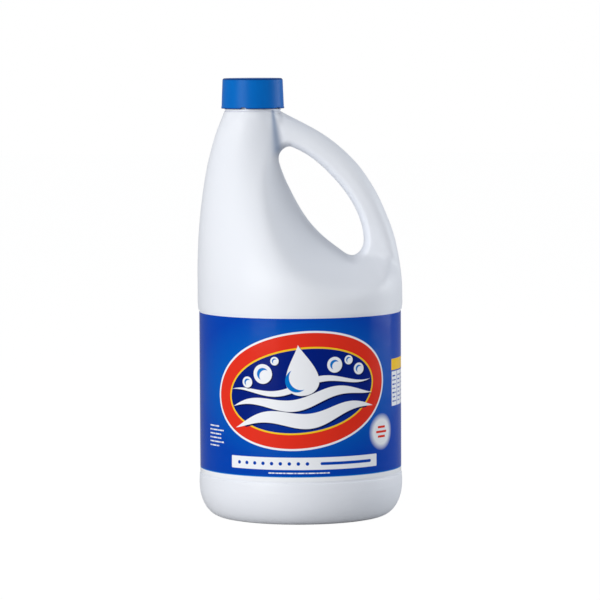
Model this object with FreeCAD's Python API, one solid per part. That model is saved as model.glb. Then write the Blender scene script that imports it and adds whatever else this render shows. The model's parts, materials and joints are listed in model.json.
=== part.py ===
import FreeCAD, Part
import math
import os

# Two litre bleach bottle with a built-in handle, a screw cap and a wrap-round label.
# The origin lies under the body's axis on the plane that it stands on, +Z up,
# the handle towards +X, the front of the label towards -Y. Lengths are millimetres.

# Body, outside sizes
wall = 1.0
base_ring_radius = 49.8
base_ring_width = 4.0
push_up_depth = 4.5
lower_bulge_radius = 63.0
lower_bulge_height = 20.3
lower_bulge_lip = 0.35
panel_radius = 62.3
panel_bottom = 26.4
panel_height = 101.8
upper_bulge_radius = 63.4
shoulder_height = 122.2

# Neck, set off towards the pouring side
neck_offset = 28.6
collar_radius = 17.3
collar_height = 2.2
collar_step = 0.6
neck_root_radius = 15.8
neck_bore_radius = 13.2
neck_foot_thickness = 3.0
neck_height = 16.4
neck_lip_chamfer = 0.5

# Screw threads
thread_pitch = 4.2
thread_turns = 1.4
thread_depth = 1.15
thread_root_width = 2.0
thread_crest_width = 1.0
thread_top_gap = 1.8
thread_crest_clearance = 0.4
thread_flank_gap = 0.35
thread_root_bite = 0.3
cap_thread_lead_in = 0.2

# Handle and finger hole
handle_top_thickness = 18.0
handle_root_thickness = 33.0
handle_round_over = 9.0
handle_root_fade = 2.5
hole_rim_radius = 4.5

# Scooped recess round the finger hole
recess_thickness = 25.0
recess_rise = 2.05
lobe_blend = 7
recess_blend = 14
skin_softening = 2.6

# Cap
cap_bottom_radius = 19.25
cap_top_radius = 18.6
cap_bore_clearance = 0.5
cap_seat_gap = 0.3
cap_top_thickness = 1.4
cap_edge_chamfer = 0.8
cap_bead_height = 1.2
cap_bead_step = 0.2
cap_notch_count = 5
cap_notch_width = 4.6
cap_notch_height = 1.1
cap_notch_angle = -107.3
liner_thickness = 1.0
liner_clearance = 0.1

# Label film
label_thickness = 0.2
label_edge_gap = 1.4
label_seam_angle = 90.0
label_lap_angle = 6.0

# Heights and places that follow from the sizes above
shoulder_bottom = panel_bottom + panel_height
shoulder_top = shoulder_bottom + shoulder_height
collar_bottom = shoulder_top - collar_step
collar_top = collar_bottom + collar_height
neck_top = collar_top + neck_height
neck_x = -neck_offset
thread_crest_radius = neck_root_radius + thread_depth
thread_start = neck_top - thread_top_gap - thread_root_width / 2 - thread_turns * thread_pitch
cap_bore_radius = thread_crest_radius + cap_bore_clearance
cap_bottom = collar_top + cap_seat_gap
liner_top = neck_top + liner_thickness
cap_top = liner_top + cap_top_thickness

# Shares of the way from bulge to neck, by height through the shoulder
left_shape = [
    (0.0, 0.029), (0.057, 0.006), (0.14, 0.0), (0.248, 0.008), (0.364, 0.042), (0.485, 0.114),
    (0.606, 0.223), (0.726, 0.371), (0.847, 0.589), (0.93, 0.783), (1.0, 1.0),
]
right_shape = [
    (0.0, 0.007), (0.057, 0.001), (0.115, 0.0), (0.173, 0.008), (0.231, 0.02), (0.298, 0.039),
    (0.384, 0.073), (0.475, 0.128), (0.567, 0.194), (0.658, 0.28), (0.735, 0.373), (0.811, 0.497),
    (0.873, 0.626), (0.934, 0.794), (0.972, 0.915), (1.0, 1.0),
]
lobe_shape = [
    (0.0, 0.011), (0.057, 0.002), (0.115, 0.0), (0.165, 0.012), (0.215, 0.05), (0.281, 0.126),
    (0.364, 0.24), (0.448, 0.364), (0.531, 0.492), (0.614, 0.618), (0.697, 0.738), (0.78, 0.843),
    (0.855, 0.917), (0.93, 0.967), (1.0, 1.0),
]

# Finger hole and floor edge of the recess, as shares of bulge radius and shoulder height
hole_shape = [
    (-0.074, 0.820), (0.135, 0.759), (0.311, 0.675), (0.463, 0.579), (0.571, 0.477), (0.623, 0.373),
    (0.607, 0.306), (0.522, 0.269), (0.393, 0.300), (0.224, 0.370), (0.056, 0.470), (-0.083, 0.597),
    (-0.186, 0.723), (-0.192, 0.785),
]
recess_edge_shape = [
    (-0.16, 1.05), (-0.185, 0.9), (-0.21, 0.769), (-0.18, 0.675), (-0.055, 0.53), (0.14, 0.403),
    (0.353, 0.327), (0.52, 0.285), (0.67, 0.267), (0.83, 0.26), (1.06, 0.275),
]

# The shoulder's skin is drawn with domes past both its ends, which are then cut away
dome_below = 26.0
dome_above = 8.4
station_spacing = 4.5
station_turn = 9.0
ring_half_points = 32

vector = FreeCAD.Vector
up = vector(0, 0, 1)


def share_curve(shape):
    # a smooth curve of share over height, both read from 0 to 1
    curve = Part.BSplineCurve()
    points = [vector(height, share, 0) for height, share in shape]
    curve.interpolate(Points=points, Parameters=[height for height, share in shape])
    return curve


def side_point(share_x, share_z):
    return vector(share_x * upper_bulge_radius, 0, shoulder_bottom + share_z * shoulder_height)


def spline(points, closed=False):
    # a smooth curve through points, paced by the distance between them
    ends = points + points[:1] if closed else points
    paces = [0.0]
    for start, end in zip(ends, ends[1:]):
        paces.append(paces[-1] + (end - start).Length)
    curve = Part.BSplineCurve()
    curve.interpolate(Points=points, PeriodicFlag=closed, Parameters=paces)
    return curve


left_curve = share_curve(left_shape)
right_curve = share_curve(right_shape)
lobe_curve = share_curve(lobe_shape)


def between_bulge_and_neck(curve, z, neck_reach):
    height_share = min(max((z - shoulder_bottom) / shoulder_height, 0.0), 1.0)
    return upper_bulge_radius + (neck_reach - upper_bulge_radius) * curve.value(height_share).y


def shoulder_sides(z):
    # the outline in the plane of the handle: how far it reaches left and right
    left = -between_bulge_and_neck(left_curve, z, neck_offset + collar_radius)
    right = between_bulge_and_neck(right_curve, z, collar_radius - neck_offset)
    return left, right


def lobe_radius(z):
    return between_bulge_and_neck(lobe_curve, z, collar_radius)


right_side = spline([
    vector(shoulder_sides(side_point(0, share).z)[1], 0, side_point(0, share).z) for share, reach in right_shape
])
recess_edge = spline([side_point(*point) for point in recess_edge_shape])
hole_outline = spline([side_point(*point) for point in hole_shape], True)


def smooth_step(value):
    value = min(max(value, 0.0), 1.0)
    return value * value * (3 - 2 * value)


def rounded(distance, radius):
    # a height share that rises from 0 at an edge to 1 at the radius, like a quarter circle
    return math.sqrt(1 - (1 - min(distance / radius, 1.0)) ** 2)


def distance_outside(curve, point):
    # how far the point lies on the left or lower side of the curve, else 0
    parameter = curve.parameter(point)
    offset = point - curve.value(parameter)
    side = curve.tangent(parameter)[0].cross(offset).y
    return offset.Length if side > 0 else 0.0


def right_inset(place):
    # how far the place lies from the outline on the handle's side
    return (place - right_side.value(right_side.parameter(place))).Length


def crisp_depth(x, z):
    # half of the thickness front to back, at a place in the plane of the handle:
    # a round lobe that leans to the neck, joined to the handle's web, and scooped out round the hole
    left, right = shoulder_sides(z)
    if not left < x < right:
        return 0.0
    radius = lobe_radius(z)
    centre = left + radius
    lobe = math.sqrt(max(radius ** 2 - (x - centre) ** 2, 0.0))
    place = vector(x, 0, z)
    inset = right_inset(place)
    height_share = (z - shoulder_bottom) / shoulder_height
    thickness = handle_root_thickness + (handle_top_thickness - handle_root_thickness) * height_share
    web = thickness / 2 * rounded(inset, handle_round_over)
    web *= smooth_step((x - centre) / (radius / 2)) * smooth_step((shoulder_top - z) / handle_root_fade)
    joined = (lobe ** lobe_blend + web ** lobe_blend) ** (1 / lobe_blend)
    if joined < 1e-6:
        return 0.0
    recess = recess_thickness / 2 + recess_rise * distance_outside(recess_edge, place)
    return (joined ** -recess_blend + recess ** -recess_blend) ** (-1 / recess_blend)


def half_depth(x, z):
    # the mean of the depth over a small disc, so that creases are as soft as in blown plastic
    left, right = shoulder_sides(z)
    if not left < x < right:
        return 0.0
    room = min(x - left, shoulder_top - z, z - shoulder_bottom, right_inset(vector(x, 0, z)))
    reach = min(skin_softening, max(room, 0.0) / 2)
    depths = [crisp_depth(x, z)]
    if reach > 0:
        for sample in range(16):
            angle = math.pi * sample / 8
            radius = reach * (1 - sample % 2 / 2)
            depths.append(crisp_depth(x + radius * math.cos(angle), z + radius * math.sin(angle)))
    return sum(depths) / len(depths)


def domed_sides(z):
    # the outline, closed by domes past the shoulder's ends, and the dome's share of full size
    left, right = shoulder_sides(z)
    below = (shoulder_bottom - z) / dome_below
    above = (z - shoulder_top) / dome_above
    beyond = max(below, above, 0.0)
    if beyond >= 1:
        return 0.0, 0.0, 0.0
    scale = math.sqrt(1 - beyond ** 2)
    if below > 0:
        return left * scale, right * scale, scale
    if above > 0:
        return neck_x - collar_radius * scale, neck_x + collar_radius * (1 - above), scale
    return left, right, 1.0


def domed_depth(x, z):
    left, right, scale = domed_sides(z)
    if right <= left:
        return 0.0
    full_z = min(max(z, shoulder_bottom), shoulder_top)
    full_left, full_right = shoulder_sides(full_z)
    share = (x - left) / (right - left)
    return scale * half_depth(full_left + share * (full_right - full_left), full_z)


def inside_outline(place):
    left, right, scale = domed_sides(place.z)
    return left < place.x < right


def ray_length(start, direction):
    # how far the outline lies from the hole's edge: stepped out to, then narrowed down
    near = 0.0
    far = station_spacing
    while inside_outline(start + direction * far):
        near = far
        far += station_spacing
    while far - near > 0.001:
        middle = (near + far) / 2
        if inside_outline(start + direction * middle):
            near = middle
        else:
            far = middle
    return near


def hole_stations(dense=720):
    # places on the hole's edge with their outward directions, closer together where it turns fast
    span = hole_outline.LastParameter
    parameters = [span * step / dense for step in range(dense + 1)]
    places = [hole_outline.value(parameter) for parameter in parameters]
    tangents = [hole_outline.tangent(parameter)[0] for parameter in parameters]
    travelled = [0.0]
    for step in range(dense):
        length = (places[step + 1] - places[step]).Length / station_spacing
        turn = math.degrees(tangents[step + 1].getAngle(tangents[step])) / station_turn
        travelled.append(travelled[-1] + math.hypot(length, turn))
    count = round(travelled[-1])
    stations = []
    step = 0
    for station in range(count):
        goal = travelled[-1] * station / count
        while travelled[step + 1] <= goal:
            step += 1
        share = (goal - travelled[step]) / (travelled[step + 1] - travelled[step])
        parameter = span * (step + share) / dense
        tangent = hole_outline.tangent(parameter)[0]
        stations.append((hole_outline.value(parameter), vector(-tangent.z, 0, tangent.x)))
    return stations


def skin_rings():
    # rings of points, each from the hole's edge out across the front and home across the back
    rings = []
    for start, outward in hole_stations():
        length = ray_length(start, outward)
        front = []
        for step in range(ring_half_points + 1):
            share = (1 - math.cos(math.pi * step / ring_half_points)) / 2
            reach = length * share * (1 + share) / 2
            place = start + outward * reach
            depth = domed_depth(place.x, place.z) * rounded(reach, hole_rim_radius)
            front.append(vector(place.x, -depth if step < ring_half_points else 0.0, place.z))
        rings.append(front + [vector(point.x, -point.y, point.z) for point in front[-2:0:-1]])
    return rings


def inset_rings(rings, inset):
    # the same rings moved square to the skin and inwards
    moved = []
    for ring, points in enumerate(rings):
        after = rings[(ring + 1) % len(rings)]
        before = rings[ring - 1]
        row = []
        for place, point in enumerate(points):
            along = points[(place + 1) % len(points)] - points[place - 1]
            normal = along.cross(after[place] - before[place])
            normal.normalize()
            row.append(point + normal * inset)
        moved.append(row)
    return moved


def loop_curve(points):
    curve = Part.BSplineCurve()
    curve.interpolate(Points=points, PeriodicFlag=True, Parameters=list(range(len(points) + 1)))
    return curve


def ring_solid(rings):
    # one smooth surface through all the rings, closed both ways round
    loops = [loop_curve(points) for points in rings]
    loop_poles = [loop.getPoles() for loop in loops]
    columns = [loop_curve(list(poles)) for poles in zip(*loop_poles)]
    net = [list(poles) for poles in zip(*[column.getPoles() for column in columns])]
    surface = Part.BSplineSurface()
    surface.buildFromPolesMultsKnots(
        net, columns[0].getMultiplicities(), loops[0].getMultiplicities(),
        columns[0].getKnots(), loops[0].getKnots(), True, True, 3, 3)
    solid = Part.Solid(Part.Shell([surface.toShape()]))
    if solid.Volume < 0:
        solid.reverse()
    return solid


def level_slice(solid, bottom, top):
    reach = 2 * upper_bulge_radius
    return solid.common(Part.makeBox(2 * reach, 2 * reach, top - bottom, vector(-reach, -reach, bottom)))


def quarter_curve(start, corner, end):
    # a quarter of an ellipse between two square directions
    pull = 0.5523
    curve = Part.BezierCurve()
    curve.setPoles([start, start + (corner - start) * pull, end + (corner - end) * pull, end])
    return curve.toShape()


def revolved(edges):
    return Part.Face(Part.Wire(Part.__sortEdges__(edges))).revolve(vector(0, 0, 0), up, 360)


def lower_body(inset):
    # base, lower bulge and label panel, moved inwards by the inset
    lift = inset
    dome_top = vector(0, 0, push_up_depth + lift)
    ring_inner = vector(base_ring_radius - base_ring_width, 0, lift)
    ring_outer = vector(base_ring_radius, 0, lift)
    dome_middle = vector(ring_inner.x / 2, 0, lift + push_up_depth * 3 / 4)
    bulge = vector(lower_bulge_radius - inset, 0, lower_bulge_height)
    corner = vector(bulge.x, 0, lift)
    lip = vector(bulge.x - lower_bulge_lip, 0, panel_bottom - inset)
    panel_foot = vector(panel_radius - inset, 0, lip.z)
    panel_head = vector(panel_foot.x, 0, shoulder_bottom + 2 * wall - inset)
    axis_head = vector(0, 0, panel_head.z)
    return revolved([
        Part.Arc(dome_top, dome_middle, ring_inner).toShape(),
        Part.makeLine(ring_inner, ring_outer),
        quarter_curve(ring_outer, corner, bulge),
        quarter_curve(lip, vector(bulge.x, 0, lip.z), bulge),
        Part.makeLine(lip, panel_foot),
        Part.makeLine(panel_foot, panel_head),
        Part.makeLine(panel_head, axis_head),
        Part.makeLine(axis_head, dome_top),
    ])


def neck_cylinder(radius, bottom, top):
    return Part.makeCylinder(radius, top - bottom, vector(neck_x, 0, bottom))


def thread(root_radius, crest_radius, start, first_turn, turns):
    # a helical ridge round the neck's axis, its root sunk a little into the wall that carries it
    outward = 1 if crest_radius > root_radius else -1
    foot = root_radius - outward * thread_root_bite
    half_root = thread_root_width / 2
    half_crest = thread_crest_width / 2
    helix = Part.makeHelix(thread_pitch, turns * thread_pitch, root_radius)
    profile = Part.makePolygon([
        vector(foot, 0, -half_root), vector(root_radius, 0, -half_root), vector(crest_radius, 0, -half_crest),
        vector(crest_radius, 0, half_crest), vector(root_radius, 0, half_root), vector(foot, 0, half_root),
        vector(foot, 0, -half_root),
    ])
    ridge = Part.Wire(helix).makePipeShell([profile], True, True)
    ridge.rotate(vector(0, 0, 0), up, 360 * first_turn)
    ridge.translate(vector(neck_x, 0, start + first_turn * thread_pitch))
    return ridge


def make_bottle():
    rings = skin_rings()
    outside = lower_body(0).fuse(level_slice(ring_solid(rings), shoulder_bottom, shoulder_top))
    inner_shoulder = ring_solid(inset_rings(rings, wall))
    inner_top = shoulder_top - neck_foot_thickness
    inside = lower_body(wall).fuse(level_slice(inner_shoulder, shoulder_bottom + wall, inner_top))
    neck = neck_cylinder(neck_root_radius, collar_bottom, neck_top)
    neck = neck.makeChamfer(neck_lip_chamfer, [edge for edge in neck.Edges if edge.BoundBox.ZMin > neck_top - 0.01])
    collar = neck_cylinder(collar_radius, collar_bottom, collar_top)
    collar = collar.makeChamfer(2 * collar_step, [edge for edge in collar.Edges if edge.BoundBox.ZMax < shoulder_top])
    bore = neck_cylinder(neck_bore_radius, inner_top - wall, neck_top + wall)
    outside = outside.fuse([collar, neck])
    shell = outside.cut(inside).cut(bore)
    return shell.fuse(thread(neck_root_radius, thread_crest_radius, thread_start, 0, thread_turns))


def make_cap():
    edge_radius = cap_top_radius - cap_edge_chamfer
    bead_radius = cap_bottom_radius + cap_bead_step
    bead_top = cap_bottom + cap_bead_height
    outline = Part.makePolygon([
        vector(0, 0, liner_top), vector(cap_bore_radius, 0, liner_top), vector(cap_bore_radius, 0, cap_bottom),
        vector(bead_radius, 0, cap_bottom), vector(bead_radius, 0, bead_top - cap_bead_step),
        vector(cap_bottom_radius, 0, bead_top), vector(cap_top_radius, 0, cap_top - cap_edge_chamfer),
        vector(edge_radius, 0, cap_top), vector(0, 0, cap_top), vector(0, 0, liner_top),
    ])
    cap = Part.Face(outline).revolve(vector(0, 0, 0), up, 360)
    cap.translate(vector(neck_x, 0, 0))
    arch_radius = (cap_notch_width ** 2 / 4 + cap_notch_height ** 2) / (2 * cap_notch_height)
    arch_z = cap_bottom + cap_notch_height - arch_radius
    for notch in range(cap_notch_count):
        angle = math.radians(cap_notch_angle + notch * 360 / cap_notch_count)
        outward = vector(math.cos(angle), math.sin(angle), 0)
        start = vector(neck_x, 0, arch_z) + outward * (cap_bore_radius / 2)
        cap = cap.cut(Part.makeCylinder(arch_radius, bead_radius, start, outward))
    half_width = (thread_root_width + thread_crest_width) / 2
    drop = half_width + thread_flank_gap
    inner_crest = neck_root_radius + thread_crest_clearance
    ridge = thread(cap_bore_radius, inner_crest, thread_start - drop, -cap_thread_lead_in, thread_turns)
    return cap.fuse(ridge)


def make_liner():
    return neck_cylinder(cap_bore_radius - liner_clearance, neck_top, liner_top)


def make_label():
    # one film round the panel, its end lapped over its start at the back
    bottom = vector(0, 0, panel_bottom + label_edge_gap)
    height = panel_height - 2 * label_edge_gap
    outer = panel_radius + label_thickness
    film = Part.makeCylinder(outer, height, bottom).cut(Part.makeCylinder(panel_radius, height, bottom))
    lap = Part.makeCylinder(outer + label_thickness, height, bottom, up, label_lap_angle)
    lap = lap.cut(Part.makeCylinder(outer, height, bottom))
    lap.rotate(vector(0, 0, 0), up, label_seam_angle)
    return film.fuse(lap)


os.makedirs("parts", exist_ok=True)
for node, make in [("bottle", make_bottle), ("cap", make_cap), ("cap_liner", make_liner), ("label", make_label)]:
    shape = make()
    solids = shape.Solids
    print(node, "solids", len(solids), "valid", shape.isValid(), "volume", round(shape.Volume))
    solids[0].exportStep("parts/" + node + ".step")
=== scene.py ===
import bpy
import json
import math
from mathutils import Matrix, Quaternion, Vector

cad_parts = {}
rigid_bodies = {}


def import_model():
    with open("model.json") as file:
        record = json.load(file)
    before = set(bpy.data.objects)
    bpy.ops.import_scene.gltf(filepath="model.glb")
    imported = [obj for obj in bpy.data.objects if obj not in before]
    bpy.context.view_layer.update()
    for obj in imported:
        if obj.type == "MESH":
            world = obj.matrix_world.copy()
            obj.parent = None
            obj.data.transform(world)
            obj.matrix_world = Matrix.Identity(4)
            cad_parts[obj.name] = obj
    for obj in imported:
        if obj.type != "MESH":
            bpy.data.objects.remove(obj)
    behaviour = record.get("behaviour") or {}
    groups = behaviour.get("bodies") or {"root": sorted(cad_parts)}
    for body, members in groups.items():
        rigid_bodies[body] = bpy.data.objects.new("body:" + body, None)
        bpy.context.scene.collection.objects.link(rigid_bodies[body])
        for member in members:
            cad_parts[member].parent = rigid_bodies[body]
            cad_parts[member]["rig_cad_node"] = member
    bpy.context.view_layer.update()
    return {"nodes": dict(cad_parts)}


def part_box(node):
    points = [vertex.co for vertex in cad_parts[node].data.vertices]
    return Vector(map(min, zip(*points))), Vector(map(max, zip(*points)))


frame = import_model()
nodes = frame["nodes"]
print("frame loaded:", ", ".join(sorted(nodes)))


# Shader maths as plain expressions: a Wire is a socket with operators, and paint.node adds any other node

class Wire:
    def __init__(self, paint, socket):
        self.paint = paint
        self.socket = socket

    def math(self, operation, *others, clamp=False):
        values = {place: value for place, value in enumerate(others)}
        return self.paint.node("ShaderNodeMath", {"operation": operation, "use_clamp": clamp}, values)

    def __add__(self, other): return self.math("ADD", self, other)
    def __radd__(self, other): return self.math("ADD", other, self)
    def __sub__(self, other): return self.math("SUBTRACT", self, other)
    def __rsub__(self, other): return self.math("SUBTRACT", other, self)
    def __mul__(self, other): return self.math("MULTIPLY", self, other)
    def __rmul__(self, other): return self.math("MULTIPLY", other, self)
    def __truediv__(self, other): return self.math("DIVIDE", self, other)
    def __rtruediv__(self, other): return self.math("DIVIDE", other, self)
    def __pow__(self, other): return self.math("POWER", self, other)
    def __neg__(self): return self.math("MULTIPLY", self, -1)
    def __gt__(self, other): return self.math("GREATER_THAN", self, other)
    def __lt__(self, other): return self.math("LESS_THAN", self, other)
    def __abs__(self): return self.math("ABSOLUTE", self)

    def lowest(self, other): return self.math("MINIMUM", self, other)
    def highest(self, other): return self.math("MAXIMUM", self, other)
    def root(self): return self.math("SQRT", self)
    def sine(self): return self.math("SINE", self)
    def exponent(self): return self.math("EXPONENT", self)
    def floor(self): return self.math("FLOOR", self)
    def clamped(self): return self.math("ADD", self, 0, clamp=True)


class Paint:
    def __init__(self, name):
        self.material = bpy.data.materials.new(name)
        self.material.use_nodes = True
        self.tree = self.material.node_tree
        self.shader = self.tree.nodes["Principled BSDF"]
        self.place = self.node("ShaderNodeTexCoord", {}, {}, "Object")

    def node(self, kind, settings, values, output=0):
        made = self.tree.nodes.new(kind)
        for name, value in settings.items():
            setattr(made, name, value)
        for name, value in values.items():
            if isinstance(value, Wire):
                self.tree.links.new(value.socket, made.inputs[name])
            else:
                made.inputs[name].default_value = value
        return Wire(self, made.outputs[output])

    def split(self, vector):
        made = self.tree.nodes.new("ShaderNodeSeparateXYZ")
        self.tree.links.new(vector.socket, made.inputs[0])
        return [Wire(self, output) for output in made.outputs]

    def mix(self, share, under, over):
        # colours: under where share is 0, over where it is 1
        ends = [value if isinstance(value, Wire) else (*value, 1) for value in (under, over)]
        return self.node("ShaderNodeMix", {"data_type": "RGBA"}, {0: share, 6: ends[0], 7: ends[1]}, 2)

    def noise(self, size, detail=2, roughness=0.5, stretch=(1, 1, 1)):
        # a field from 0 to 1 whose blotches are about size metres across
        vector = self.node("ShaderNodeVectorMath", {"operation": "MULTIPLY"}, {0: self.place, 1: stretch})
        return self.node("ShaderNodeTexNoise", {}, {
            "Vector": vector, "Scale": 1 / size, "Detail": detail, "Roughness": roughness}, "Fac")

    def bump(self, height, distance, strength=1.0, under=None):
        values = {"Height": height, "Distance": distance, "Strength": strength}
        if under:
            values["Normal"] = under
        return self.node("ShaderNodeBump", {}, values, "Normal")

    def set(self, **values):
        for name, value in values.items():
            socket = self.shader.inputs[name.replace("_", " ")]
            if isinstance(value, Wire):
                self.tree.links.new(value.socket, socket)
            elif socket.type == "RGBA":
                socket.default_value = (*value, 1)
            else:
                socket.default_value = value


def shown(node, paint):
    # gives a CAD node its finish
    piece = nodes[node]
    piece.data.materials.clear()
    piece.data.materials.append(paint.material)


# The camera stands where the photograph's did

view = {
    "imageWidth": 600,
    "focalPixels": 3700,
    "sensor": 36.0,
    "place": (0.0, -2.287, 0.3102),
    "target": (0.0, 0.0, 0.1334),
    "roll": -0.005,
}
cameraData = bpy.data.cameras.new("photoCamera")
cameraData.sensor_width = view["sensor"]
cameraData.lens = view["focalPixels"] / view["imageWidth"] * view["sensor"]
cameraData.clip_end = 50
camera = bpy.data.objects.new("photoCamera", cameraData)
bpy.context.scene.collection.objects.link(camera)
camera.location = view["place"]
aim = (Vector(view["target"]) - Vector(view["place"])).to_track_quat("-Z", "Y")
camera.rotation_mode = "QUATERNION"
camera.rotation_quaternion = aim @ Quaternion((0, 0, 1), view["roll"])
bpy.context.scene.camera = camera
print("camera placed")


# Studio: white sweep, big soft boxes on both sides, nothing overhead

studio = {
    "floorSize": 12.0,
    "floorGlow": 0.9,
    "floorShine": 1.08,
    "floorColour": (0.5, 0.5, 0.5),
    "floorRoughness": 0.9,
    "skyStrength": 0.47,
    "skyColour": (0.93, 0.96, 1.0),
    "lampTarget": (0.0, 0.0, 0.14),
    "lamps": [
        # name, place, width, height, power in watts, colour
        ("keyLeft", (-1.2, -1.4, 0.5), 1.0, 1.1, 25.0, (1.0, 0.985, 0.96)),
        ("fillRight", (1.45, 0.42, 0.28), 1.0, 1.2, 15.5, (0.97, 0.985, 1.0)),
    ],
}


def makeFloor():
    half = studio["floorSize"] / 2
    mesh = bpy.data.meshes.new("floor")
    corners = [(-half, -half, 0), (half, -half, 0), (half, half, 0), (-half, half, 0)]
    mesh.from_pydata(corners, [], [(0, 1, 2, 3)])
    floor = bpy.data.objects.new("floor", mesh)
    bpy.context.scene.collection.objects.link(floor)
    paint = Paint("floorPaper")
    paint.set(Base_Color=studio["floorColour"], Roughness=studio["floorRoughness"])
    ray = paint.node("ShaderNodeLightPath", {}, {}, "Is Camera Ray")
    glow = paint.node("ShaderNodeEmission", {}, {"Color": (1, 1, 1, 1), "Strength": studio["floorShine"]})
    mixed = paint.node("ShaderNodeMixShader", {}, {
        0: ray * studio["floorGlow"], 1: Wire(paint, paint.shader.outputs[0]), 2: glow})
    paint.tree.links.new(mixed.socket, paint.tree.nodes["Material Output"].inputs[0])
    mesh.materials.append(paint.material)


def makeSky():
    world = bpy.data.worlds.new("studioSky")
    world.use_nodes = True
    bpy.context.scene.world = world
    tree = world.node_tree
    soft = tree.nodes["Background"]
    soft.inputs[0].default_value = (*studio["skyColour"], 1)
    soft.inputs[1].default_value = studio["skyStrength"]
    white = tree.nodes.new("ShaderNodeBackground")
    white.inputs[0].default_value = (1, 1, 1, 1)
    white.inputs[1].default_value = 1.0
    ray = tree.nodes.new("ShaderNodeLightPath")
    mixed = tree.nodes.new("ShaderNodeMixShader")
    tree.links.new(ray.outputs["Is Camera Ray"], mixed.inputs[0])
    tree.links.new(soft.outputs[0], mixed.inputs[1])
    tree.links.new(white.outputs[0], mixed.inputs[2])
    tree.links.new(mixed.outputs[0], tree.nodes["World Output"].inputs[0])


def makeLamps():
    middle = Vector(studio["lampTarget"])
    for name, place, width, height, power, colour in studio["lamps"]:
        lamp = bpy.data.lights.new(name, "AREA")
        lamp.shape = "RECTANGLE"
        lamp.size = width
        lamp.size_y = height
        lamp.energy = power
        lamp.color = colour
        stand = bpy.data.objects.new(name, lamp)
        bpy.context.scene.collection.objects.link(stand)
        stand.location = place
        stand.rotation_euler = (middle - Vector(place)).to_track_quat("-Z", "Y").to_euler()


makeFloor()
makeSky()
makeLamps()
bpy.context.scene.view_settings.view_transform = "Standard"
print("studio lit")


# Body: satin white polyethylene, blown in two mould halves

body = {
    "colour": (0.82, 0.842, 0.89),
    "thinColour": (0.775, 0.805, 0.87),
    "valleyPaintedShadeColour": (0.2, 0.29, 0.46),
    "valleyFoot": (-0.0128, 0.2215),
    "valleyHead": (-0.0162, 0.2515),
    "valleyWidth": (0.0036, 0.0009),
    "valleyFade": 0.006,
    "valleyShade": 0.75,
    "roughness": 0.42,
    "rippleSize": 0.035,
    "rippleHeight": 0.0006,
    "grainSize": 0.0007,
    "grainHeight": 0.00002,
    "partingWidth": 0.00035,
    "partingHeight": 0.00015,
}


def paintBody():
    paint = Paint("whitePolyethylene")
    x, y, z = paint.split(paint.place)
    cloud = paint.noise(body["rippleSize"] * 2, 3)
    ripple = paint.noise(body["rippleSize"], 2, stretch=(1, 1, 0.6))
    grain = paint.noise(body["grainSize"], 2)
    parting = (-((y / body["partingWidth"]) ** 2)).exponent()
    height = paint.bump(ripple, body["rippleHeight"], 0.5)
    height = paint.bump(grain, body["grainHeight"], 0.6, height)
    height = paint.bump(parting, body["partingHeight"], 0.7, height)
    # painted shade: a dark blue-grey tone laid into the colour along the narrow join between neck and handle, where
    # light hardly gets
    footX, footZ = body["valleyFoot"]
    headX, headZ = body["valleyHead"]
    wide, narrow = body["valleyWidth"]
    climb = ((z - footZ) / (headZ - footZ)).clamped()
    away = (x - footX - climb * (headX - footX)) / (wide + climb * (narrow - wide))
    above = ((z - footZ) / body["valleyFade"]).clamped() * (z < headZ)
    paintedValleyShade = (-(away * away)).exponent() * above * body["valleyShade"]
    white = paint.mix(cloud, body["colour"], body["thinColour"])
    paint.set(
        Base_Color=paint.mix(paintedValleyShade, white, body["valleyPaintedShadeColour"]),
        Roughness=body["roughness"] + (ripple - 0.5) * 0.1 + (grain - 0.5) * 0.06,
        IOR=1.5, Specular_IOR_Level=0.32,
        Normal=height)
    shown("bottle", paint)


paintBody()
print("body painted")


# Cap: smooth blue polypropylene with a gate mark in the middle of its top

cap = {
    "colour": (0.0, 0.142, 0.53),
    "deepColour": (0.0, 0.118, 0.47),
    "capEdgePaintedShadeColour": (0.0, 0.04, 0.2),
    "edgeHeight": 0.0010,
    "edgeReach": 0.0172,
    "roughness": 0.36,
    "flowSize": 0.006,
    "grainSize": 0.0006,
    "grainHeight": 0.00002,
    "gateRadius": 0.0011,
    "gateLine": 0.0004,
    "gateHeight": 0.0003,
    "topFace": 0.0005,
    "edgeSoftness": 0.0003,
    "edgeShade": 0.9,
}


def paintCap():
    paint = Paint("blueCapPlastic")
    low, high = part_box("cap")
    x, y, z = paint.split(paint.place)
    across = x - (low.x + high.x) / 2
    out = (across * across + y * y).root()
    flow = paint.noise(cap["flowSize"], 3, stretch=(1, 1, 0.35))
    grain = paint.noise(cap["grainSize"], 2)
    gate = (1 - abs(out - cap["gateRadius"]) / cap["gateLine"]).clamped() * (z > high.z - cap["topFace"])
    # painted shade: the cap's upper and lower rims are darkened in the colour, where their rounding turns away from
    # the light
    upper = ((z - (high.z - cap["edgeHeight"])) / cap["edgeSoftness"]).clamped()
    lower = (((low.z + cap["edgeHeight"] * 0.7) - z) / cap["edgeSoftness"]).clamped()
    edge = upper.highest(lower) * (out > cap["edgeReach"]) * cap["edgeShade"]
    blue = paint.mix(flow, cap["colour"], cap["deepColour"])
    normal = paint.bump(grain, cap["grainHeight"], 0.6)
    normal = paint.bump(gate, cap["gateHeight"], 0.8, normal)
    paint.set(
        Base_Color=paint.mix(edge, blue, cap["capEdgePaintedShadeColour"]),
        Roughness=cap["roughness"] + (flow - 0.5) * 0.12 + (grain - 0.5) * 0.06,
        IOR=1.49, Specular_IOR_Level=0.08, Normal=normal)
    shown("cap", paint)


# Liner: the foam sealing disc inside the cap

liner = {
    "colour": (0.86, 0.86, 0.83),
    "deepColour": (0.78, 0.78, 0.75),
    "roughness": 0.75,
    "toneSize": 0.004,
    "cellScale": 1600.0,
    "cellHeight": 0.0003,
}


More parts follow.
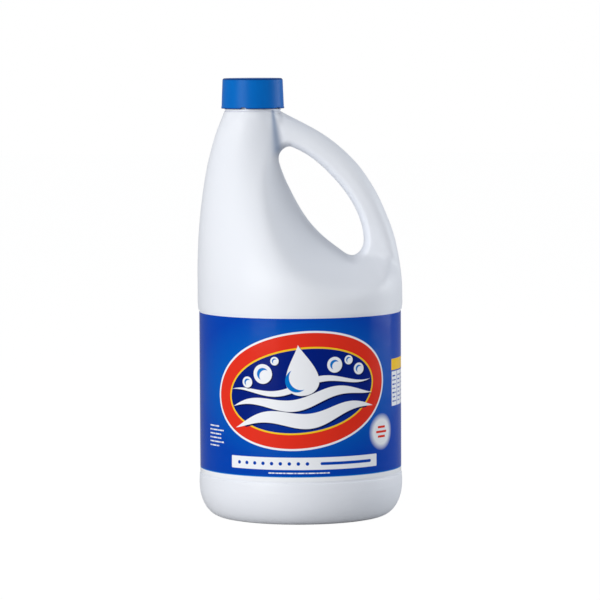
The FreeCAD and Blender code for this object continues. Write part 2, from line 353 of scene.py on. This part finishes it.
def paintLiner():
    paint = Paint("foamLiner")
    cells = paint.node(
        "ShaderNodeTexVoronoi", {"feature": "F1"}, {"Vector": paint.place, "Scale": liner["cellScale"]}, "Distance")
    tone = paint.noise(liner["toneSize"])
    paint.set(
        Base_Color=paint.mix(tone, liner["colour"], liner["deepColour"]),
        Roughness=liner["roughness"] + (tone - 0.5) * 0.15,
        Normal=paint.bump(cells, liner["cellHeight"], 0.5))
    shown("cap_liner", paint)


paintCap()
paintLiner()
print("cap and liner painted")


# Label: printed film. Print is laid out in millimetres: u round the body from the front, v up from the floor

label = {
    "blue": (0.0, 0.052, 0.41),
    "lightBlue": (0.0, 0.17, 0.58),
    "navy": (0.0, 0.012, 0.19),
    "shadow": (0.0, 0.005, 0.07),
    "white": (0.84, 0.86, 0.9),
    "red": (0.74, 0.03, 0.014),
    "yellow": (0.9, 0.56, 0.02),
    "edge": 0.25,
    "badge": {"u": 1.0, "v": 83.0, "halfWidth": 58.0, "halfHeight": 36.0, "tilt": 7.0,
              "outline": 1.2, "band": 8.5, "inline": 1.1},
    "glow": {"v": 84, "halfWidth": 85, "halfHeight": 48},
    "pool": {"below": 16, "halfWidth": 40, "halfHeight": 17, "strength": 0.7},
    "drop": {"p": 1, "q": 12.5, "halfWidth": 14.5, "halfHeight": 15.5},
    # ribbons: height, thickness, phase; then what they share
    "ribbons": [(-16.0, 4.6, -1.9), (-5.5, 3.6, -0.9), (3.0, 2.0, 0.1)],
    "ribbonSwing": 2.8,
    "ribbonLength": 9.0,
    "ribbonReach": 46,
    # bubbles: place across and up in the badge, radius
    "bubbles": [(-23, 13, 6.0), (-34, 9, 3.4), (-14.5, 20, 2.6), (22, 13, 4.8), (31.5, 14.5, 2.8), (38, 8, 3.6)],
    # boxes: left, right, bottom, top
    "bar": (-46, 52, 35.0, 42.5),
    "barDash": (12, 47, 37.8, 39.6),
    "barDots": {"count": 9, "u": -40, "v": 38.7, "pitch": 5.5, "radius": 1.1},
    "patch": {"u": 57, "v": 55.5, "radius": 8.5},
    "patchLines": [(2.9, 3.6), (0.0, 5.2), (-2.9, 3.6)],
    "patchLineHalf": 0.7,
    "sidePanel": {"u": 84, "left": -15, "right": 22, "foot": 70, "split": 91.2, "bandFoot": 92, "head": 99,
                  "columns": 4, "columnWidth": 9.25},
    "backPanel": (128, 178, 42, 118),
    "backBand": (132, 174, 107, 113.5),
    "paintedEdgeHighlight": 31.0,
    "margin": 30.4,
    "roughness": 0.18,
    "slackSize": 0.022,
    "slackHeight": 0.0004,
    "grainSize": 0.0009,
    "grainHeight": 0.00001,
}


class Print(Paint):
    def __init__(self, name, radius):
        super().__init__(name)
        x, y, z = self.split(self.place)
        self.u = x.math("ARCTAN2", x, -y) * (radius * 1000)
        self.v = z * 1000

    def inside(self, distance, soft=None):
        # 1 where a signed distance in millimetres is below 0, with an edge as sharp as print
        return (0.5 - distance / (soft or label["edge"])).clamped()

    def box(self, u, v, left, right, bottom, top, corner=0.0):
        # distance to a rectangle with rounded corners
        du = abs(u - (left + right) / 2) - ((right - left) / 2 - corner)
        dv = abs(v - (bottom + top) / 2) - ((top - bottom) / 2 - corner)
        outside = (du.highest(0) ** 2 + dv.highest(0) ** 2).root()
        return outside + du.highest(dv).lowest(0) - corner

    def disc(self, u, v, centreU, centreV, radius):
        return ((u - centreU) ** 2 + (v - centreV) ** 2).root() - radius

    def oval(self, u, v, halfWidth, halfHeight):
        reach = ((u / halfWidth) ** 2 + (v / halfHeight) ** 2).root()
        slope = ((u / halfWidth ** 2) ** 2 + (v / halfHeight ** 2) ** 2).root()
        return (reach - 1) * reach / slope.highest(1e-5)

    def wave(self, u, v, bottom, swing, length, phase, thick, reach):
        # a ribbon that follows a sine and tapers to both ends
        middle = (u / length + phase).sine() * swing + bottom
        return abs(v - middle) - thick * (1 - (u / reach) ** 2)

    def drop(self, u, v, centreU, centreV, halfWidth, halfHeight):
        # a falling drop with its tip up
        rise = ((v - centreV) / halfHeight).highest(-1).lowest(1)
        width = (1 - rise * rise).root() * ((1 - rise) / 2) ** 0.75 * halfWidth
        return (abs(u - centreU) - width).highest(abs(v - centreV) - halfHeight)

    def rules(self, u, v, left, right, bottom, top, pitch, ragged):
        # rows of fine lines with ragged ends, in place of small print
        row = ((v - bottom) / pitch).floor()
        within = (v - bottom) / pitch - row
        end = right - ragged * (0.5 + (row * 2.7 + left).sine() * 0.5)
        marks = ((u + row * 1.3) * 0.9).sine() * ((u * 1.9 + row * 4.1).sine())
        line = self.inside(abs(within - 0.5) * pitch - pitch * 0.17, 0.2)
        return (line * self.inside(self.box(u, v, left, right, bottom, top)) * (u < end)
                * (0.55 + 0.45 * (marks > -0.12)))


def paintLabel():
    low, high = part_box("label")
    paint = Print("printedFilm", (high.x - low.x) / 2)
    u, v = paint.u, paint.v
    badge = label["badge"]

    # ground: blue, lighter in a broad glow behind the badge
    light = label["glow"]
    spread = (u / light["halfWidth"]) ** 2 + ((v - light["v"]) / light["halfHeight"]) ** 2
    glow = (1 - spread.root()).clamped()
    colour = paint.mix(glow, label["blue"], label["lightBlue"])

    def add(mask, tone):
        nonlocal colour
        colour = paint.mix(mask, colour, label[tone])

    # badge: an oval with an outline, a band and an inner line, turned up to the right
    turn = math.radians(badge["tilt"])
    p = (u - badge["u"]) * math.cos(turn) + (v - badge["v"]) * math.sin(turn)
    q = (v - badge["v"]) * math.cos(turn) - (u - badge["u"]) * math.sin(turn)
    rim = paint.oval(p, q, badge["halfWidth"], badge["halfHeight"])
    add(paint.inside(rim), "white")
    add(paint.inside(rim + badge["outline"]), "red")
    add(paint.inside(rim + badge["outline"] + badge["band"]), "yellow")
    field = rim + badge["outline"] + badge["band"] + badge["inline"]
    add(paint.inside(field), "navy")

    # a lighter pool low in the field, then waves and a drop over their own shadows, and bubbles
    light = label["pool"]
    spread = (p / light["halfWidth"]) ** 2 + ((q + light["below"]) / light["halfHeight"]) ** 2
    pool = (1 - spread.root()).clamped()
    add(pool * paint.inside(field) * light["strength"], "blue")

    def splash(p, q):
        drop = label["drop"]
        reach = label["ribbonReach"]
        shape = paint.drop(p, q, drop["p"], drop["q"], drop["halfWidth"], drop["halfHeight"])
        for bottom, thick, phase in label["ribbons"]:
            ribbon = paint.wave(
                p, q, bottom, label["ribbonSwing"], label["ribbonLength"], phase, thick, reach)
            shape = shape.lowest(ribbon.highest(abs(p) - reach))
        return shape

    add(paint.inside(splash(p - 0.8, q + 0.9)) * paint.inside(field - 3), "shadow")
    add(paint.inside(splash(p, q)), "white")
    glint = paint.disc(p, q, -2.5, 6.5, 7.0).highest(-paint.disc(p, q, 0.5, 8.0, 7.4))
    add(paint.inside(glint), "lightBlue")
    for centreP, centreQ, radius in label["bubbles"]:
        add(paint.inside(paint.disc(p, q, centreP + 0.7, centreQ - 0.7, radius)), "shadow")
        add(paint.inside(paint.disc(p, q, centreP, centreQ, radius)), "white")
        shine = paint.disc(p, q, centreP, centreQ, radius * 0.62).highest(
            -paint.disc(p, q, centreP + radius * 0.25, centreQ - radius * 0.25, radius * 0.62))
        add(paint.inside(shine), "lightBlue")

    # white bar under the badge, a soft round patch, and a panel at the handle's side
    add(paint.inside(paint.box(u, v, *label["bar"], 0.6)), "white")
    dots = label["barDots"]
    for step in range(dots["count"]):
        add(paint.inside(paint.disc(u, v, dots["u"] + step * dots["pitch"], dots["v"], dots["radius"])), "blue")
    add(paint.inside(paint.box(u, v, *label["barDash"], 0.9)), "blue")
    spot = label["patch"]
    patch = paint.disc(u, v, spot["u"], spot["v"], spot["radius"])
    add((0.75 - patch / 4).clamped(), "white")
    thick = label["patchLineHalf"]
    for rise, half in label["patchLines"]:
        middle = spot["v"] + rise
        line = paint.box(u, v, spot["u"] - half, spot["u"] + half, middle - thick, middle + thick, 0.5)
        add(paint.inside(line), "red")
    side = label["sidePanel"]
    across = u - side["u"]
    sides = side["left"], side["right"]
    add(paint.inside(paint.box(across, v, *sides, side["bandFoot"], side["head"], 0.4)), "yellow")
    add(paint.inside(paint.box(across, v, *sides, side["foot"], side["split"], 0.4)), "white")
    for column in range(side["columns"]):
        left = side["left"] + column * side["columnWidth"]
        add(paint.inside(paint.box(across, v, left - 0.4, left + 0.4, side["foot"], side["split"])), "blue")
        add(paint.rules(across, v, left + 1.5, left + 8, 71.5, 90, 2.6, 2.0), "blue")

    # rows of rules: lower left, under the bar and in the two back panels
    add(paint.rules(u, v, -68, -52, 46, 60, 2.4, 6), "white")
    add(paint.rules(u, v, -20, 18, 31.9, 34.0, 2.1, 4), "white")
    around = abs(u)
    add(paint.inside(paint.box(around, v, *label["backPanel"], 2.5)), "white")
    add(paint.rules(around, v, 132, 174, 48, 104, 3.0, 9), "navy")
    add(paint.inside(paint.box(around, v, *label["backBand"], 1.0)), "blue")

    # the film's lower edge: a painted highlight, a light line standing for light caught on the film's edge, and a
    # margin without print
    add(paint.inside(v - label["paintedEdgeHighlight"]), "lightBlue")
    add(paint.inside(v - label["margin"]), "white")

    # film: faint slack ripples and a slightly uneven gloss
    slack = paint.noise(label["slackSize"], 2, stretch=(1, 1, 2.2))
    grain = paint.noise(label["grainSize"], 2)
    normal = paint.bump(slack, label["slackHeight"], 0.4)
    normal = paint.bump(grain, label["grainHeight"], 0.5, normal)
    paint.set(
        Base_Color=colour,
        Roughness=label["roughness"] + (slack - 0.5) * 0.08 + (grain - 0.5) * 0.05,
        IOR=1.5, Specular_IOR_Level=0.06, Normal=normal)
    shown("label", paint)


paintLabel()
print("label printed")
